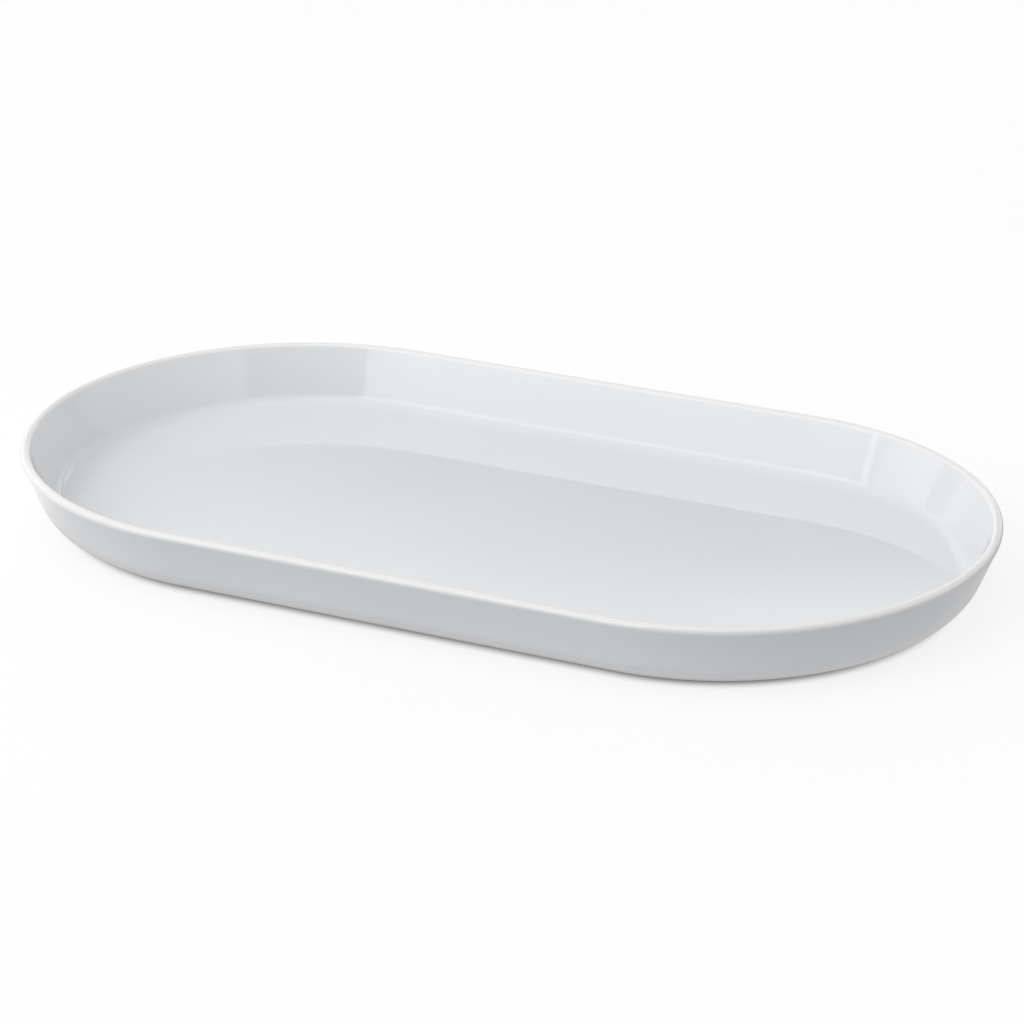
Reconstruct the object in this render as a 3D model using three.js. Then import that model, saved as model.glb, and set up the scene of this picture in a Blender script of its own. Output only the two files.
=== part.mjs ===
// Oblong serving dish of white glazed porcelain, in millimetres, standing on z = 0.
// Its section is drawn once as distance out from a spine and height, and carried round an oblong lap:
// two half circles about the ends of the spine, joined by straight sides.
import * as THREE from 'three';
import { mergeGeometries, mergeVertices } from 'three/addons/utils/BufferGeometryUtils.js';

// Driving dimensions of the dish
const overallLength = 400;
const overallWidth = 220;
const overallHeight = 30;
const wallThickness = 4;
const wallFlare = THREE.MathUtils.degToRad(22);
const wellDepth = 23.3;
const floorThickness = 4.6;
const coveRadius = 6;
const heelRadius = 17.5;
const heelLift = 0.9;

// Foot ring under the heel
const footWidth = 4;
const footFlankRun = 1.2;
const recessFlare = THREE.MathUtils.degToRad(25);
const recessFillet = 1.2;

// Glaze, and how far its lines stay off the bare foot
const glazeThickness = 0.35;
const heelGlazeLine = THREE.MathUtils.degToRad(8);
const recessGlazeLine = 0.6;

// Facets
const endSteps = 30;
const arcDivisions = 4;

// Places that follow from the dimensions, as (distance from the spine, height)
const spineHalf = (overallLength - overallWidth) / 2;
const floorTop = overallHeight - wellDepth;
const recessTop = floorTop - floorThickness;
const lipRadius = wallThickness / 2;
const lipCentre = new THREE.Vector2(overallWidth / 2 - lipRadius, overallHeight - lipRadius);
const wallOut = new THREE.Vector2(Math.cos(-wallFlare), Math.sin(-wallFlare));

// The cove touches the floor and the inside of the wall, the heel touches its outside.
const coveCentre = centreOffWall(floorTop + coveRadius, -lipRadius - coveRadius);
const heelCentre = centreOffWall(heelLift + heelRadius, lipRadius - heelRadius);

// Foot ring, hung from the heel where the glaze stops
const heelLineOut = heelCentre.x + (heelRadius - glazeThickness) * Math.sin(heelGlazeLine);
const footOuter = new THREE.Vector2(heelLineOut - footFlankRun, 0);
const footInner = new THREE.Vector2(footOuter.x - footWidth, 0);
const recessOut = new THREE.Vector2(Math.cos(recessFlare), Math.sin(recessFlare));
const filletCentre = centreOffRecess(recessTop - recessFillet);

// A point at a given height whose distance from the middle line of the wall is as given, outwards positive.
function centreOffWall(height, distance) {
  const along = wallOut.dot(lipCentre) + distance - wallOut.y * height;
  return new THREE.Vector2(along / wallOut.x, height);
}

// Centre of the fillet between the recess and the inner flank of the foot ring.
function centreOffRecess(height) {
  const along = recessOut.dot(footInner) - recessFillet - glazeThickness - recessOut.y * height;
  return new THREE.Vector2(along / recessOut.x, height);
}

// Section of the glazed side at a depth under the glaze surface: floor, cove, wall, lip, wall and heel.
function glazedSection(depth) {
  const path = new THREE.Path();
  path.moveTo(0, floorTop - depth);
  path.lineTo(coveCentre.x, floorTop - depth);
  path.absarc(coveCentre.x, coveCentre.y, coveRadius + depth, -Math.PI / 2, -wallFlare, false);
  path.absarc(lipCentre.x, lipCentre.y, lipRadius - depth, Math.PI - wallFlare, -wallFlare, true);
  path.absarc(heelCentre.x, heelCentre.y, heelRadius - depth, -wallFlare, heelGlazeLine - Math.PI / 2, true);
  return path.getPoints(arcDivisions);
}

// Section of the recess at a depth over its glaze surface: flank of the foot, fillet and ceiling.
function recessSection(depth) {
  const bareLength = recessGlazeLine / Math.cos(recessFlare);
  const flank = new THREE.Vector2(-recessOut.y, recessOut.x).multiplyScalar(bareLength).add(footInner);
  const start = flank.addScaledVector(recessOut, depth - glazeThickness);
  const filletStart = recessOut.clone().multiplyScalar(recessFillet + depth).add(filletCentre);
  const path = new THREE.Path();
  path.moveTo(start.x, start.y);
  path.lineTo(filletStart.x, filletStart.y);
  path.absarc(filletCentre.x, filletCentre.y, recessFillet + depth, recessFlare, Math.PI / 2, false);
  path.lineTo(0, recessTop + depth);
  return path.getPoints(arcDivisions);
}

// Stops on one lap of the oblong: the spine end that each belongs to, and its direction outwards.
function oblongLap() {
  const lap = [];
  for (const side of [1, -1]) {
    for (let step = 0; step <= endSteps; step += 1) {
      const turn = Math.PI * (step / endSteps - side / 2);
      lap.push({ spineX: side * spineHalf, outX: Math.cos(turn), outY: Math.sin(turn) });
    }
  }
  return lap;
}

// Open sheet made by carrying a section round the lap. Facing in turns its faces over.
function carryRound(section, facingIn = false) {
  const lap = oblongLap();
  const positions = [];
  for (const stop of lap) {
    for (const point of section) {
      positions.push(stop.spineX + point.x * stop.outX, point.x * stop.outY, point.y);
    }
  }
  const corners = [];
  for (let stop = 0; stop < lap.length; stop += 1) {
    const here = stop * section.length;
    const next = ((stop + 1) % lap.length) * section.length;
    for (let row = 0; row + 1 < section.length; row += 1) {
      const triangles = [[here + row, here + row + 1, next + row + 1], [here + row, next + row + 1, next + row]];
      triangles.forEach(([a, b, c]) => corners.push(...(facingIn ? [a, c, b] : [a, b, c])));
    }
  }
  const sheet = new THREE.BufferGeometry();
  sheet.setAttribute('position', new THREE.Float32BufferAttribute(positions, 3));
  sheet.setIndex(corners);
  return sheet;
}

// Closed solid from sheets that meet edge to edge. Triangles that shrink to nothing on the spine are dropped.
function joinSheets(sheets) {
  const solid = mergeVertices(mergeGeometries(sheets));
  const corners = Array.from(solid.getIndex().array);
  const kept = [];
  for (let i = 0; i < corners.length; i += 3) {
    const [a, b, c] = corners.slice(i, i + 3);
    if (a !== b && b !== c && c !== a) {
      kept.push(a, b, c);
    }
  }
  solid.setIndex(kept);
  solid.computeVertexNormals();
  return solid;
}

// Fired clay: the glazed side under its coat, the bare foot ring, and the recess under its glaze.
function bodySolid() {
  const top = glazedSection(glazeThickness);
  const recess = recessSection(glazeThickness);
  const foot = [top.at(-1), footOuter, footInner, recess[0]];
  return joinSheets([carryRound(top), carryRound(foot), carryRound(recess)]);
}

// Glaze over the well, lip and outside wall, ending square at its line on the heel.
function coatSolid() {
  const outside = glazedSection(0);
  const onBody = glazedSection(glazeThickness);
  const edge = [outside.at(-1), onBody.at(-1)];
  return joinSheets([carryRound(outside), carryRound(edge), carryRound(onBody, true)]);
}

// Glaze in the recess, ending square at its line on the flank of the foot ring.
function undersideSolid() {
  const outside = recessSection(0);
  const onBody = recessSection(glazeThickness);
  const edge = [onBody[0], outside[0]];
  return joinSheets([carryRound(edge), carryRound(outside), carryRound(onBody, true)]);
}

function whiteGlaze() {
  return new THREE.MeshStandardMaterial({ color: 0xf2f3f4, roughness: 0.08, metalness: 0 });
}

function bareClay() {
  return new THREE.MeshStandardMaterial({ color: 0xece8df, roughness: 0.75, metalness: 0 });
}

function namedMesh(name, geometry, material) {
  const mesh = new THREE.Mesh(geometry, material);
  mesh.name = name;
  return mesh;
}

const dish = new THREE.Group();
dish.add(namedMesh('porcelain_body', bodySolid(), bareClay()));
dish.add(namedMesh('glaze_coat', coatSolid(), whiteGlaze()));
dish.add(namedMesh('underside_glaze', undersideSolid(), whiteGlaze()));

export default dish;
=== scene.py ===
import math
import bmesh
import bpy
import numpy as np
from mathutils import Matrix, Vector


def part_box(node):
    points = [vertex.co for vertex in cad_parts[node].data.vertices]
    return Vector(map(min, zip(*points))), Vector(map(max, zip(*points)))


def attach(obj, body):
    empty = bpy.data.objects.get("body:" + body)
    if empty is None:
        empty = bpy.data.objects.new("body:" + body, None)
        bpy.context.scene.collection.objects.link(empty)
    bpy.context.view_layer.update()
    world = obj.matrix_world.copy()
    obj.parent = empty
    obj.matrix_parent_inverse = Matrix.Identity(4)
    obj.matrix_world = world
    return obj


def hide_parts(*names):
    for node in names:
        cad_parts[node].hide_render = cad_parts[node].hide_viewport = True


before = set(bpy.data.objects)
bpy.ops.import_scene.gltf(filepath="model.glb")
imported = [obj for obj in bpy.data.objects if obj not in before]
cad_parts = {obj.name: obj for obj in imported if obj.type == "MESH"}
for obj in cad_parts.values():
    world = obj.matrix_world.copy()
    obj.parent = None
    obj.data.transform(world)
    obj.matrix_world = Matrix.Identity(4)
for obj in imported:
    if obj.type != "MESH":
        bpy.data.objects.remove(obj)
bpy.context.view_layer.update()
mm = 0.001

print("frame loaded:", ", ".join(sorted(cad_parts)))

# Form of the dish: one section, as (distance from a spine, height), carried round an oblong lap.
dishForm = {
    "wall": 4.0 * mm,  # thickness of wall and lip
    "flare": 22,  # degrees that the wall leans out
    "wellDepth": 23.3 * mm,
    "floor": 4.6 * mm,  # thickness under the well
    "cove": 6 * mm,  # radius between floor and wall
    "heel": 17.5 * mm,  # radius between outside wall and foot
    "heelLift": 0.9 * mm,  # height of the heel's lowest point
    "footWidth": 4 * mm,
    "footFlank": 1.2 * mm,  # how far in the outer flank of the foot runs
    "footRound": 0.5 * mm,  # worn corners of the bare foot ring
    "recessFlare": 25,  # degrees that the inner flank leans
    "recessFillet": 1.2 * mm,
    "glaze": 0.35 * mm,
    "heelLine": 8,  # degrees of heel left bare next to the foot
    "recessLine": 0.6 * mm,  # height of the inner flank left bare
    "endStops": 96,  # stops on the lap round each end
    "sideStops": 36,  # stops along each straight side
    "finer": 2,  # times over that the sides of the glaze that show have the rows below
    "weld": 0.0005 * mm,  # points closer together than this become one
}

# Rows of faces on each stretch of the section.
sectionRows = {
    "floor": 20,
    "cove": 24,
    "wall": 8,
    "lip": 32,
    "heel": 28,
    "nose": 8,
    "footFlank": 6,
    "footCorner": 8,
    "footFace": 10,
    "fillet": 10,
    "ceiling": 20,
}
coatLow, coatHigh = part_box("glaze_coat")
length, width, height = coatHigh.x - coatLow.x, coatHigh.y - coatLow.y, coatHigh.z


def unit(degrees):
    return np.array([math.cos(math.radians(degrees)), math.sin(math.radians(degrees))])


# The point at a level that lies a given distance off a straight line, outwards positive.
def offStraight(outwards, through, distance, level):
    return np.array([(outwards @ through + distance - outwards[1] * level) / outwards[0], level])


spineHalf = (length - width) / 2
wallOut = unit(-dishForm["flare"])
recessOut = unit(dishForm["recessFlare"])
lipRadius = dishForm["wall"] / 2
lipCentre = np.array([width / 2 - lipRadius, height - lipRadius])
floorTop = height - dishForm["wellDepth"]
recessTop = floorTop - dishForm["floor"]
coveCentre = offStraight(wallOut, lipCentre, -lipRadius - dishForm["cove"], floorTop + dishForm["cove"])
heelLevel = dishForm["heelLift"] + dishForm["heel"]
heelCentre = offStraight(wallOut, lipCentre, lipRadius - dishForm["heel"], heelLevel)
clayHeel = dishForm["heel"] - dishForm["glaze"]
heelLineOut = heelCentre[0] + clayHeel * math.sin(math.radians(dishForm["heelLine"]))
footOuter = np.array([heelLineOut - dishForm["footFlank"], 0])
footInner = footOuter - [dishForm["footWidth"], 0]
filletOff = -dishForm["recessFillet"] - dishForm["glaze"]
filletCentre = offStraight(recessOut, footInner, filletOff, recessTop - dishForm["recessFillet"])


# Points on a circle from one angle to another: centre plus radius times the unit vector of each angle.
def arc(centre, radius, start, end, rows):
    angle = np.radians(np.linspace(start, end, rows + 1))
    return centre + radius * np.stack([np.cos(angle), np.sin(angle)], axis=1)


# Points inside a straight, closer together at its ends by a half cosine, so that shading stays true there.
def straight(start, end, rows):
    share = (1 - np.cos(np.pi * np.arange(1, rows) / rows)) / 2
    return start + (np.asarray(end) - start) * share[:, None]


# A corner turned by an arc that touches both of its sides.
def rounded(before, corner, after, radius, rows):
    inwards = (before - corner) / np.linalg.norm(before - corner)
    onwards = (after - corner) / np.linalg.norm(after - corner)
    half = math.acos(inwards @ onwards) / 2
    middle = corner + (inwards + onwards) / np.linalg.norm(inwards + onwards) * radius / math.sin(half)
    swing = np.linspace(-1, 1, rows + 1)[:, None] * (math.pi / 2 - half)
    axis = (corner - middle) / np.linalg.norm(corner - middle)
    side = (onwards - inwards) / np.linalg.norm(onwards - inwards)
    return middle + radius * (axis * np.cos(swing) + side * np.sin(swing))


# Round nose that ends a layer of glaze: half a turn from its outer face to its inner one.
def nose(outer, inner, onwards):
    swing = np.linspace(0, np.pi, sectionRows["nose"] + 1)[1:-1, None]
    half = (outer - inner) / 2
    return (outer + inner) / 2 + half * np.cos(swing) + onwards * np.linalg.norm(half) * np.sin(swing)


# Section of the glazed side at a depth under its surface: floor, cove, wall, lip, outside wall and heel.
def glazedSection(depth, times=1):
    form = dishForm
    rows = {stretch: count * times for stretch, count in sectionRows.items()}
    cove = arc(coveCentre, form["cove"] + depth, -90, -form["flare"], rows["cove"])
    lip = arc(lipCentre, lipRadius - depth, 180 - form["flare"], -form["flare"], rows["lip"])
    heel = arc(heelCentre, form["heel"] - depth, -form["flare"], form["heelLine"] - 90, rows["heel"])
    middle = np.array([[0, floorTop - depth]])
    floor = straight(middle[0], cove[0], rows["floor"])
    inside, outside = straight(cove[-1], lip[0], rows["wall"]), straight(lip[-1], heel[0], rows["wall"])
    return np.concatenate([middle, floor, cove, inside, lip, outside, heel])


# Section of the recess at a depth over its glaze: flank of the foot, fillet and ceiling.
def recessSection(depth, times=1):
    form = dishForm
    bare = form["recessLine"] / math.cos(math.radians(form["recessFlare"]))
    start = footInner + np.array([-recessOut[1], recessOut[0]]) * bare + recessOut * (depth - form["glaze"])
    filletRows, ceilingRows = sectionRows["fillet"] * times, sectionRows["ceiling"] * times
    fillet = arc(filletCentre, form["recessFillet"] + depth, form["recessFlare"], 90, filletRows)
    middle = np.array([[0, recessTop + depth]])
    return np.concatenate([start[None], fillet, straight(fillet[-1], middle[0], ceilingRows), middle])


# Stops on one lap: the spine point that each belongs to, and its direction outwards.
def oblongLap():
    halfTurn = np.linspace(-90, 90, dishForm["endStops"] + 1)
    along = np.linspace(spineHalf, -spineHalf, dishForm["sideStops"] + 1)[1:-1]
    flat = np.full(len(along), 90)
    end = np.full(len(halfTurn), spineHalf)
    turn = np.radians(np.concatenate([halfTurn, flat, halfTurn + 180, flat + 180]))
    return np.concatenate([end, along, -end, -along]), np.cos(turn), np.sin(turn)


# Solid made by carrying a section round the lap: x and y are the spine point plus the distance out times
# the direction outwards, and z is the section's height. The section starts and ends on the spine, so the
# solid closes there.
def carryRound(name, section):
    spine, outX, outY = oblongLap()
    points = np.empty((len(spine), len(section), 3))
    points[..., 0] = spine[:, None] + outX[:, None] * section[:, 0]
    points[..., 1] = outY[:, None] * section[:, 0]
    points[..., 2] = section[:, 1]
    here = np.arange(points.size // 3).reshape(points.shape[:2])
    beside = np.roll(here, -1, axis=0)
    quads = np.stack([here[:, :-1], here[:, 1:], beside[:, 1:], beside[:, :-1]], axis=-1)
    mesh = bpy.data.meshes.new(name)
    mesh.from_pydata(points.reshape(-1, 3), [], quads.reshape(-1, 4))
    shape = bmesh.new()
    shape.from_mesh(mesh)
    bmesh.ops.remove_doubles(shape, verts=shape.verts, dist=dishForm["weld"])
    shape.to_mesh(mesh)
    shape.free()
    mesh.shade_smooth()
    piece = bpy.data.objects.new(name, mesh)
    bpy.context.scene.collection.objects.link(piece)
    print(name, len(mesh.polygons), "faces")
    return piece


# Glass coat over the well, lip and outside wall: its section comes back along the clay from a round nose on
# the heel.
def glazeCoat():
    outer, inner = glazedSection(0, dishForm["finer"]), glazedSection(dishForm["glaze"])
    edge = nose(outer[-1], inner[-1], unit(dishForm["heelLine"] - 180))
    return carryRound("glaze_coat_fine", np.concatenate([outer, edge, inner[::-1]]))


# Patch of glaze in the recess, inside the bare foot ring.
def undersideGlaze():
    outer, inner = recessSection(0, dishForm["finer"]), recessSection(dishForm["glaze"])
    edge = nose(outer[0], inner[0], np.array([recessOut[1], -recessOut[0]]))
    return carryRound("underside_glaze_fine", np.concatenate([inner[::-1], edge[::-1], outer]))


# Fired clay under the glaze, with the bare foot ring.
def porcelainBody():
    rows, corner = sectionRows, dishForm["footRound"]
    top, recess = glazedSection(dishForm["glaze"]), recessSection(dishForm["glaze"])
    outer = rounded(top[-1], footOuter, footInner, corner, rows["footCorner"])
    inner = rounded(footOuter, footInner, recess[0], corner, rows["footCorner"])
    flank = straight(top[-1], outer[0], rows["footFlank"])
    face = straight(outer[-1], inner[0], rows["footFace"])
    return carryRound("porcelain_body_fine", np.concatenate([top, flank, outer, face, inner, recess]))


# A shader socket that takes part in sums: an expression on values adds the Math nodes that work it out.
class Wire:
    def __init__(self, tree, socket=None):
        self.tree, self.socket = tree, socket

    # Any node: its type, its settings, its inputs as values or wires, and which output is wanted.
    def node(self, kind, settings=None, inputs=None, output=0):
        made = self.tree.nodes.new("ShaderNode" + kind)
        for key, value in (settings or {}).items():
            setattr(made, key, value)
        for key, value in (inputs or {}).items():
            if isinstance(value, Wire):
                self.tree.links.new(value.socket, made.inputs[key])
            else:
                made.inputs[key].default_value = value
        return Wire(self.tree, made.outputs[output]) if made.outputs else None

    def math(self, operation, *terms):
        return self.node("Math", {"operation": operation}, dict(enumerate(terms)))

    def __add__(self, other):
        return self.math("ADD", self, other)

    def __sub__(self, other):
        return self.math("SUBTRACT", self, other)

    def __rsub__(self, other):
        return self.math("SUBTRACT", other, self)

    def __mul__(self, other):
        return self.math("MULTIPLY", self, other)

    __radd__, __rmul__ = __add__, __mul__

    # Goes smoothly from 0 at one value to 1 at another.
    def rise(self, low, high):
        ends = {"Value": self, "From Min": low, "From Max": high}
        return self.node("MapRange", {"interpolation_type": "SMOOTHSTEP"}, ends)

    def noise(self, place, scale, detail):
        return self.node("TexNoise", inputs={"Vector": place, "Scale": scale, "Detail": detail})

    def bump(self, relief, depth):
        return self.node("Bump", inputs={"Strength": 1, "Distance": depth, "Height": relief})

    def part(self, place, axis):
        return self.node("SeparateXYZ", inputs={0: place}, output=axis)

    # One colour where the share is 0, the other where it is 1. The sockets are the Mix node's colour ones.
    def blend(self, share, first, second):
        colours = {0: share, 6: first, 7: second}
        return self.node("Mix", {"data_type": "RGBA"}, colours, output=2)


def newMaterial(name):
    material = bpy.data.materials.new(name)
    material.use_nodes = True
    material.node_tree.nodes.clear()
    return material, Wire(material.node_tree)


def finishMaterial(wire, shader):
    wire.node("OutputMaterial", inputs={"Surface": shader})


# Each noise has its scale and detail, and each pair of limits says where its effect starts and is full.
glazeFinish = {
    "white": (0.765, 0.775, 0.79, 1),
    "pooled": (0.75, 0.762, 0.78, 1),  # where the glaze lies a little thicker
    "poolNoise": (16, 2),
    "poolLimits": (0.35, 0.7),
    "lipHighlightWhite": (0.82, 0.82, 0.82, 1),  # painted highlight: the top of the lip made whiter by height
    "lipHighlightLimits": (28.2 * mm, 29.8 * mm),  # heights where the painted highlight starts and is full
    "rippleNoise": (150, 1),  # faint waviness of the fired glass
    "rippleDepth": 0.004 * mm,
    "smearNoise": (80, 3),  # uneven gloss
    "gloss": 0.02,
    "glossSpread": 0.02,
    "index": 1.52,
}


def whiteGlaze():
    material, wire = newMaterial("white_glaze")
    look = glazeFinish
    place = wire.node("TexCoord", output="Object")
    pool = wire.noise(place, *look["poolNoise"])
    ripple = wire.noise(place, *look["rippleNoise"])
    smear = wire.noise(place, *look["smearNoise"])
    white = wire.blend(pool.rise(*look["poolLimits"]), look["white"], look["pooled"])
    # Painted highlight: the lip's top is made whiter by height, standing in for the light it catches.
    lipHighlight = wire.part(place, "Z").rise(*look["lipHighlightLimits"])
    surface = {
        "Base Color": wire.blend(lipHighlight, white, look["lipHighlightWhite"]),
        "Roughness": look["gloss"] + smear * look["glossSpread"],
        "IOR": look["index"],
        "Normal": wire.bump(ripple, look["rippleDepth"]),
    }
    finishMaterial(wire, wire.node("BsdfPrincipled", inputs=surface))
    return material


clayFinish = {
    "clay": (0.78, 0.755, 0.7, 1),
    "dusk": (0.66, 0.63, 0.57, 1),  # handled and wiped places
    "grainNoise": (2600, 3),
    "grainDepth": 0.05 * mm,
    "grainLimits": (0.55, 0.8),
    "grainDusk": 0.3,
    "smearNoise": (90, 4),
    "smearLimits": (0.45, 0.75),
    "smearDusk": 0.6,
    "roughness": 0.62,
    "roughSpread": 0.25,
}


def bareClay():
    material, wire = newMaterial("bare_porcelain")
    look = clayFinish
    place = wire.node("TexCoord", output="Object")
    grain = wire.noise(place, *look["grainNoise"])
    smear = wire.noise(place, *look["smearNoise"])
    wiped = smear.rise(*look["smearLimits"]) * look["smearDusk"]
    tone = wiped + grain.rise(*look["grainLimits"]) * look["grainDusk"]
    surface = {
        "Base Color": wire.blend(tone, look["clay"], look["dusk"]),
        "Roughness": look["roughness"] + smear * look["roughSpread"],
        "Normal": wire.bump(grain, look["grainDepth"]),
    }
    finishMaterial(wire, wire.node("BsdfPrincipled", inputs=surface))
    return material


glaze, clay = whiteGlaze(), bareClay()
for piece, node, slot, material in (
    (porcelainBody(), "porcelain_body", "bare_porcelain", clay),
    (glazeCoat(), "glaze_coat", "white_glaze", glaze),
    (undersideGlaze(), "underside_glaze", "white_glaze", glaze),
):
    piece.data.materials.append(material)
    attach(piece, "root")
    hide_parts(node)
print("dish dressed")

# Camera of the photograph, on a sphere round the dish.
photoCamera = {
    "distance": 1.4842,
    "bearing": 25.1211,  # degrees to the right of the front
    "elevation": 23.3258,  # degrees over the floor
    "turn": -0.1946,  # then turned left
    "tilt": 0.4637,  # and up, in degrees
    "lens": 132.31,  # millimetres, as the sensor is
    "sensor": 36,
}


def aimCamera():
    look = photoCamera
    camera = bpy.data.objects.new("photo_camera", bpy.data.cameras.new("photo_camera"))
    camera.data.lens = look["lens"]
    camera.data.sensor_width = look["sensor"]
    bearing, elevation = math.radians(look["bearing"]), math.radians(look["elevation"])
    flat = math.cos(elevation)
    back = (math.sin(bearing) * flat, -math.cos(bearing) * flat, math.sin(elevation))
    camera.location = [look["distance"] * share for share in back]
    tilt = math.radians(90 - look["elevation"] + look["tilt"])
    camera.rotation_euler = (tilt, 0, bearing + math.radians(look["turn"]))
    bpy.context.scene.collection.objects.link(camera)
    bpy.context.scene.camera = camera


aimCamera()
bpy.context.scene.view_settings.view_transform = "Standard"
print("camera set")

# Floor that sends light up at the dish, as a light table does. Each pair says where something starts and is
# full: distances from the dish's spine, and for the left end places along the length.
studioFloor = {
    "radius": 12.0,
    "rings": 24,
    "spokes": 96,
    "pale": (1, 1, 1, 1),
    "mottle": (0.985, 0.985, 0.983, 1),
    "mottleNoise": (3, 2),
    "unlit": (0, 0, 0, 1),
    "glow": 0.41,
    "dark": (0.088, 0.098),  # no light comes from under the dish
    "nearGlow": 0.2,  # more of it close to the dish
    "near": (0.165, 0.115),
    "leftGlow": 0.45,  # and past the left end
    "left": (-0.15, -0.21),
    "seenPaintedShadow": (0.0868, 0.0964),  # painted contact shadow: dark under the dish where the camera sees it
    "seenGlow": 0.78,  # share of its tone there that is its own light
}


# The distance from the spine is the root of the squares of y and of how far x lies beyond the spine's end.
def floorFinish():
    look = studioFloor
    material, wire = newMaterial("pale_floor")
    place = wire.node("TexCoord", output="Object")
    tone = wire.blend(wire.noise(place, *look["mottleNoise"]), look["pale"], look["mottle"])
    alongX, alongY = wire.part(place, "X"), wire.part(place, "Y")
    beyond = alongX.math("MAXIMUM", alongX.math("ABSOLUTE", alongX) - spineHalf, 0)
    away = beyond.math("SQRT", beyond * beyond + alongY * alongY)
    more = away.rise(*look["near"]) * look["nearGlow"] + alongX.rise(*look["left"]) * look["leftGlow"]
    most = look["glow"] + look["nearGlow"] + look["leftGlow"]
    sent = away.rise(*look["dark"]) * (look["glow"] + more) * (1 / most)
    sentTone = wire.blend(sent, look["unlit"], tone)
    # Painted contact shadow: the tone the camera sees goes to black close under the dish.
    shadowedSeenTone = wire.blend(away.rise(*look["seenPaintedShadow"]), look["unlit"], tone)
    table = wire.node("Emission", inputs={"Color": sentTone, "Strength": most})
    seenTable = wire.node("Emission", inputs={"Color": shadowedSeenTone})
    lit = wire.node("BsdfDiffuse", inputs={"Color": tone})
    pale = wire.node("MixShader", inputs={0: look["seenGlow"], 1: lit, 2: seenTable})
    seen = wire.node("LightPath", output="Is Camera Ray")
    finishMaterial(wire, wire.node("MixShader", inputs={0: seen, 1: table, 2: pale}))
    return material


# Round floor: each point is a radius that grows by squares times the unit vector of its spoke.
def paleFloor():
    look = studioFloor
    radius = look["radius"] * np.linspace(0, 1, look["rings"] + 1)[1:] ** 2
    turn = np.linspace(0, 2 * np.pi, look["spokes"], endpoint=False)
    points = np.zeros((len(radius), len(turn), 3))
    points[..., 0] = radius[:, None] * np.cos(turn)
    points[..., 1] = radius[:, None] * np.sin(turn)
    here = np.arange(len(radius) * len(turn)).reshape(len(radius), len(turn))
    beside = np.roll(here, -1, axis=1)
    quads = np.stack([here[:-1], here[1:], beside[1:], beside[:-1]], axis=-1).reshape(-1, 4)
    mesh = bpy.data.meshes.new("pale_floor")
    mesh.from_pydata(points.reshape(-1, 3), [], [*quads.tolist(), here[0].tolist()])
    mesh.materials.append(floorFinish())
    floor = bpy.data.objects.new("pale_floor", mesh)
    bpy.context.scene.collection.objects.link(floor)


paleFloor()

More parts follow.
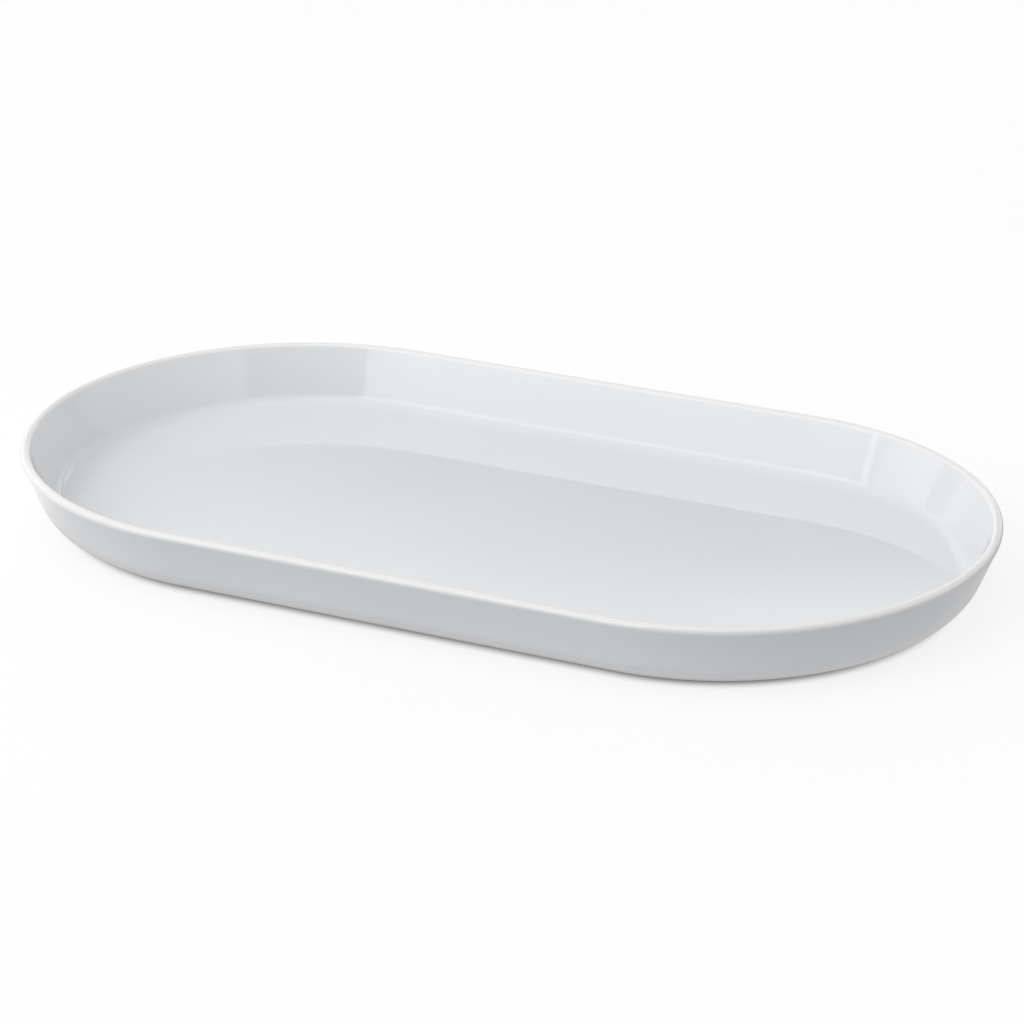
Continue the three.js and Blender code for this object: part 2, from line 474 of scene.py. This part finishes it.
# Light by direction from the dish. A panel reaches over bearings in degrees clockwise from straight behind
# the dish as the camera sees it, and over angles above the floor. Soft says over how many degrees its sides
# and its top and bottom fade, and glow what it adds to the base.
studioLight = {
    "base": 0.82,
    "backdrop": 1.0,  # what the camera sees beyond the floor
    "panels": {
        "leftFrontBox": {"bearings": (-150, -100), "angles": (16, 54), "soft": (1.5, 5), "glow": 0.85},
        "boxMiddle": {"bearings": (-150, -100), "angles": (25, 48), "soft": (1.5, 6), "glow": 1.0},
        "leftLow": {"bearings": (-100, -55), "angles": (6, 14), "soft": (3, 1.5), "glow": 0.75},
        "leftHorizon": {"bearings": (-78, -52), "angles": (-5, 6), "soft": (8, 1.5), "glow": -0.25},
        "besideBox": {"bearings": (-107.5, -104.5), "angles": (7, 21), "soft": (1.5, 2), "glow": 1.5},
        "frontHorizon": {"bearings": (-200, -105), "angles": (-5, 14), "soft": (6, 3), "glow": 0.4},
        "backHorizon": {"bearings": (-50, 40), "angles": (-5, 6), "soft": (10, 1.5), "glow": 0.35},
        "rightFrontSheet": {"bearings": (74, 154), "angles": (6, 27), "soft": (1.5, 1.5), "glow": 0.25},
        "shadeOverSheet": {"bearings": (95, 154), "angles": (28, 44), "soft": (8, 6), "glow": -0.4},
        "rightHorizon": {"bearings": (45, 100), "angles": (-5, 6), "soft": (5, 0.8), "glow": -0.3},
        "roundCamera": {"bearings": (154, 210), "angles": (4, 28), "soft": (1.5, 3), "glow": -0.75},
        "overCamera": {"bearings": (175, 240), "angles": (46, 76), "soft": (20, 8), "glow": 0.5},
        "overhead": {"bearings": (-180, 180), "angles": (74, 95), "soft": (1, 4), "glow": 0.4},
        "lowBehind": {"bearings": (-40, 30), "angles": (6, 20.8), "soft": (10, 2), "glow": 0.25},
        "rightStrip": {"bearings": (-3, 45), "angles": (20.8, 23.8), "soft": (8, 1.6), "glow": -0.4},
        "wholeStrip": {"bearings": (-45, 45), "angles": (20.8, 23.8), "soft": (8, 1.6), "glow": -0.2},
        "overStripLeft": {"bearings": (-45, 1), "angles": (22.8, 28), "soft": (6, 1.6), "glow": 0.35},
        "overStripRight": {"bearings": (3, 45), "angles": (23.8, 28), "soft": (6, 1.6), "glow": 0.32},
        "ceilingBehind": {"bearings": (-45, 50), "angles": (30, 62), "soft": (10, 6), "glow": -0.35},
    },
}


def softLight():
    look = studioLight
    world = bpy.data.worlds.new("soft_studio")
    world.use_nodes = True
    world.node_tree.nodes.clear()
    bpy.context.scene.world = world
    wire = Wire(world.node_tree)
    way = wire.node("TexCoord", output="Generated")
    aim = {"Vector": way, "Angle": -math.radians(photoCamera["bearing"])}
    turned = wire.node("VectorRotate", {"rotation_type": "Z_AXIS"}, aim)
    right, ahead, up = (wire.part(turned, axis) for axis in "XYZ")
    bearing = right.math("ARCTAN2", right, ahead) * math.degrees(1)
    angle = up.math("ARCSINE", up) * math.degrees(1)
    light = look["base"]
    for panel in look["panels"].values():
        (start, end), (low, high) = panel["bearings"], panel["angles"]
        edge, fade = panel["soft"][0] / 2, panel["soft"][1] / 2
        aside = bearing.math("WRAP", bearing - (start + end) / 2, 180, -180)
        reach = (end - start) / 2
        across = aside.math("ABSOLUTE", aside).rise(reach + edge, reach - edge)
        above = angle.rise(low - fade, low + fade)
        below = angle.rise(high + fade, high - fade)
        light = light + across * above * below * panel["glow"]
    seen = wire.node("LightPath", output="Is Camera Ray")
    strength = light + seen * (look["backdrop"] - light)
    glow = wire.node("Background", inputs={"Color": (1, 1, 1, 1), "Strength": strength})
    wire.node("OutputWorld", inputs={"Surface": glow})


softLight()

# Softbox close to the left end, so that the light falls off along the dish. It is kept out of reflections.
nearBox = {
    "place": (-0.5, -0.3, 0.35),
    "aim": (-0.1, 0, 0),
    "side": 0.3,
    "power": 0.4,
}


def nearSoftbox():
    look = nearBox
    lamp = bpy.data.lights.new("near_softbox", "AREA")
    lamp.shape = "SQUARE"
    lamp.size = look["side"]
    lamp.energy = look["power"]
    box = bpy.data.objects.new("near_softbox", lamp)
    box.location = look["place"]
    box.rotation_euler = (Vector(look["aim"]) - Vector(look["place"])).to_track_quat("-Z", "Y").to_euler()
    box.visible_camera = False
    box.visible_glossy = False
    bpy.context.scene.collection.objects.link(box)


nearSoftbox()
print("floor and light set")
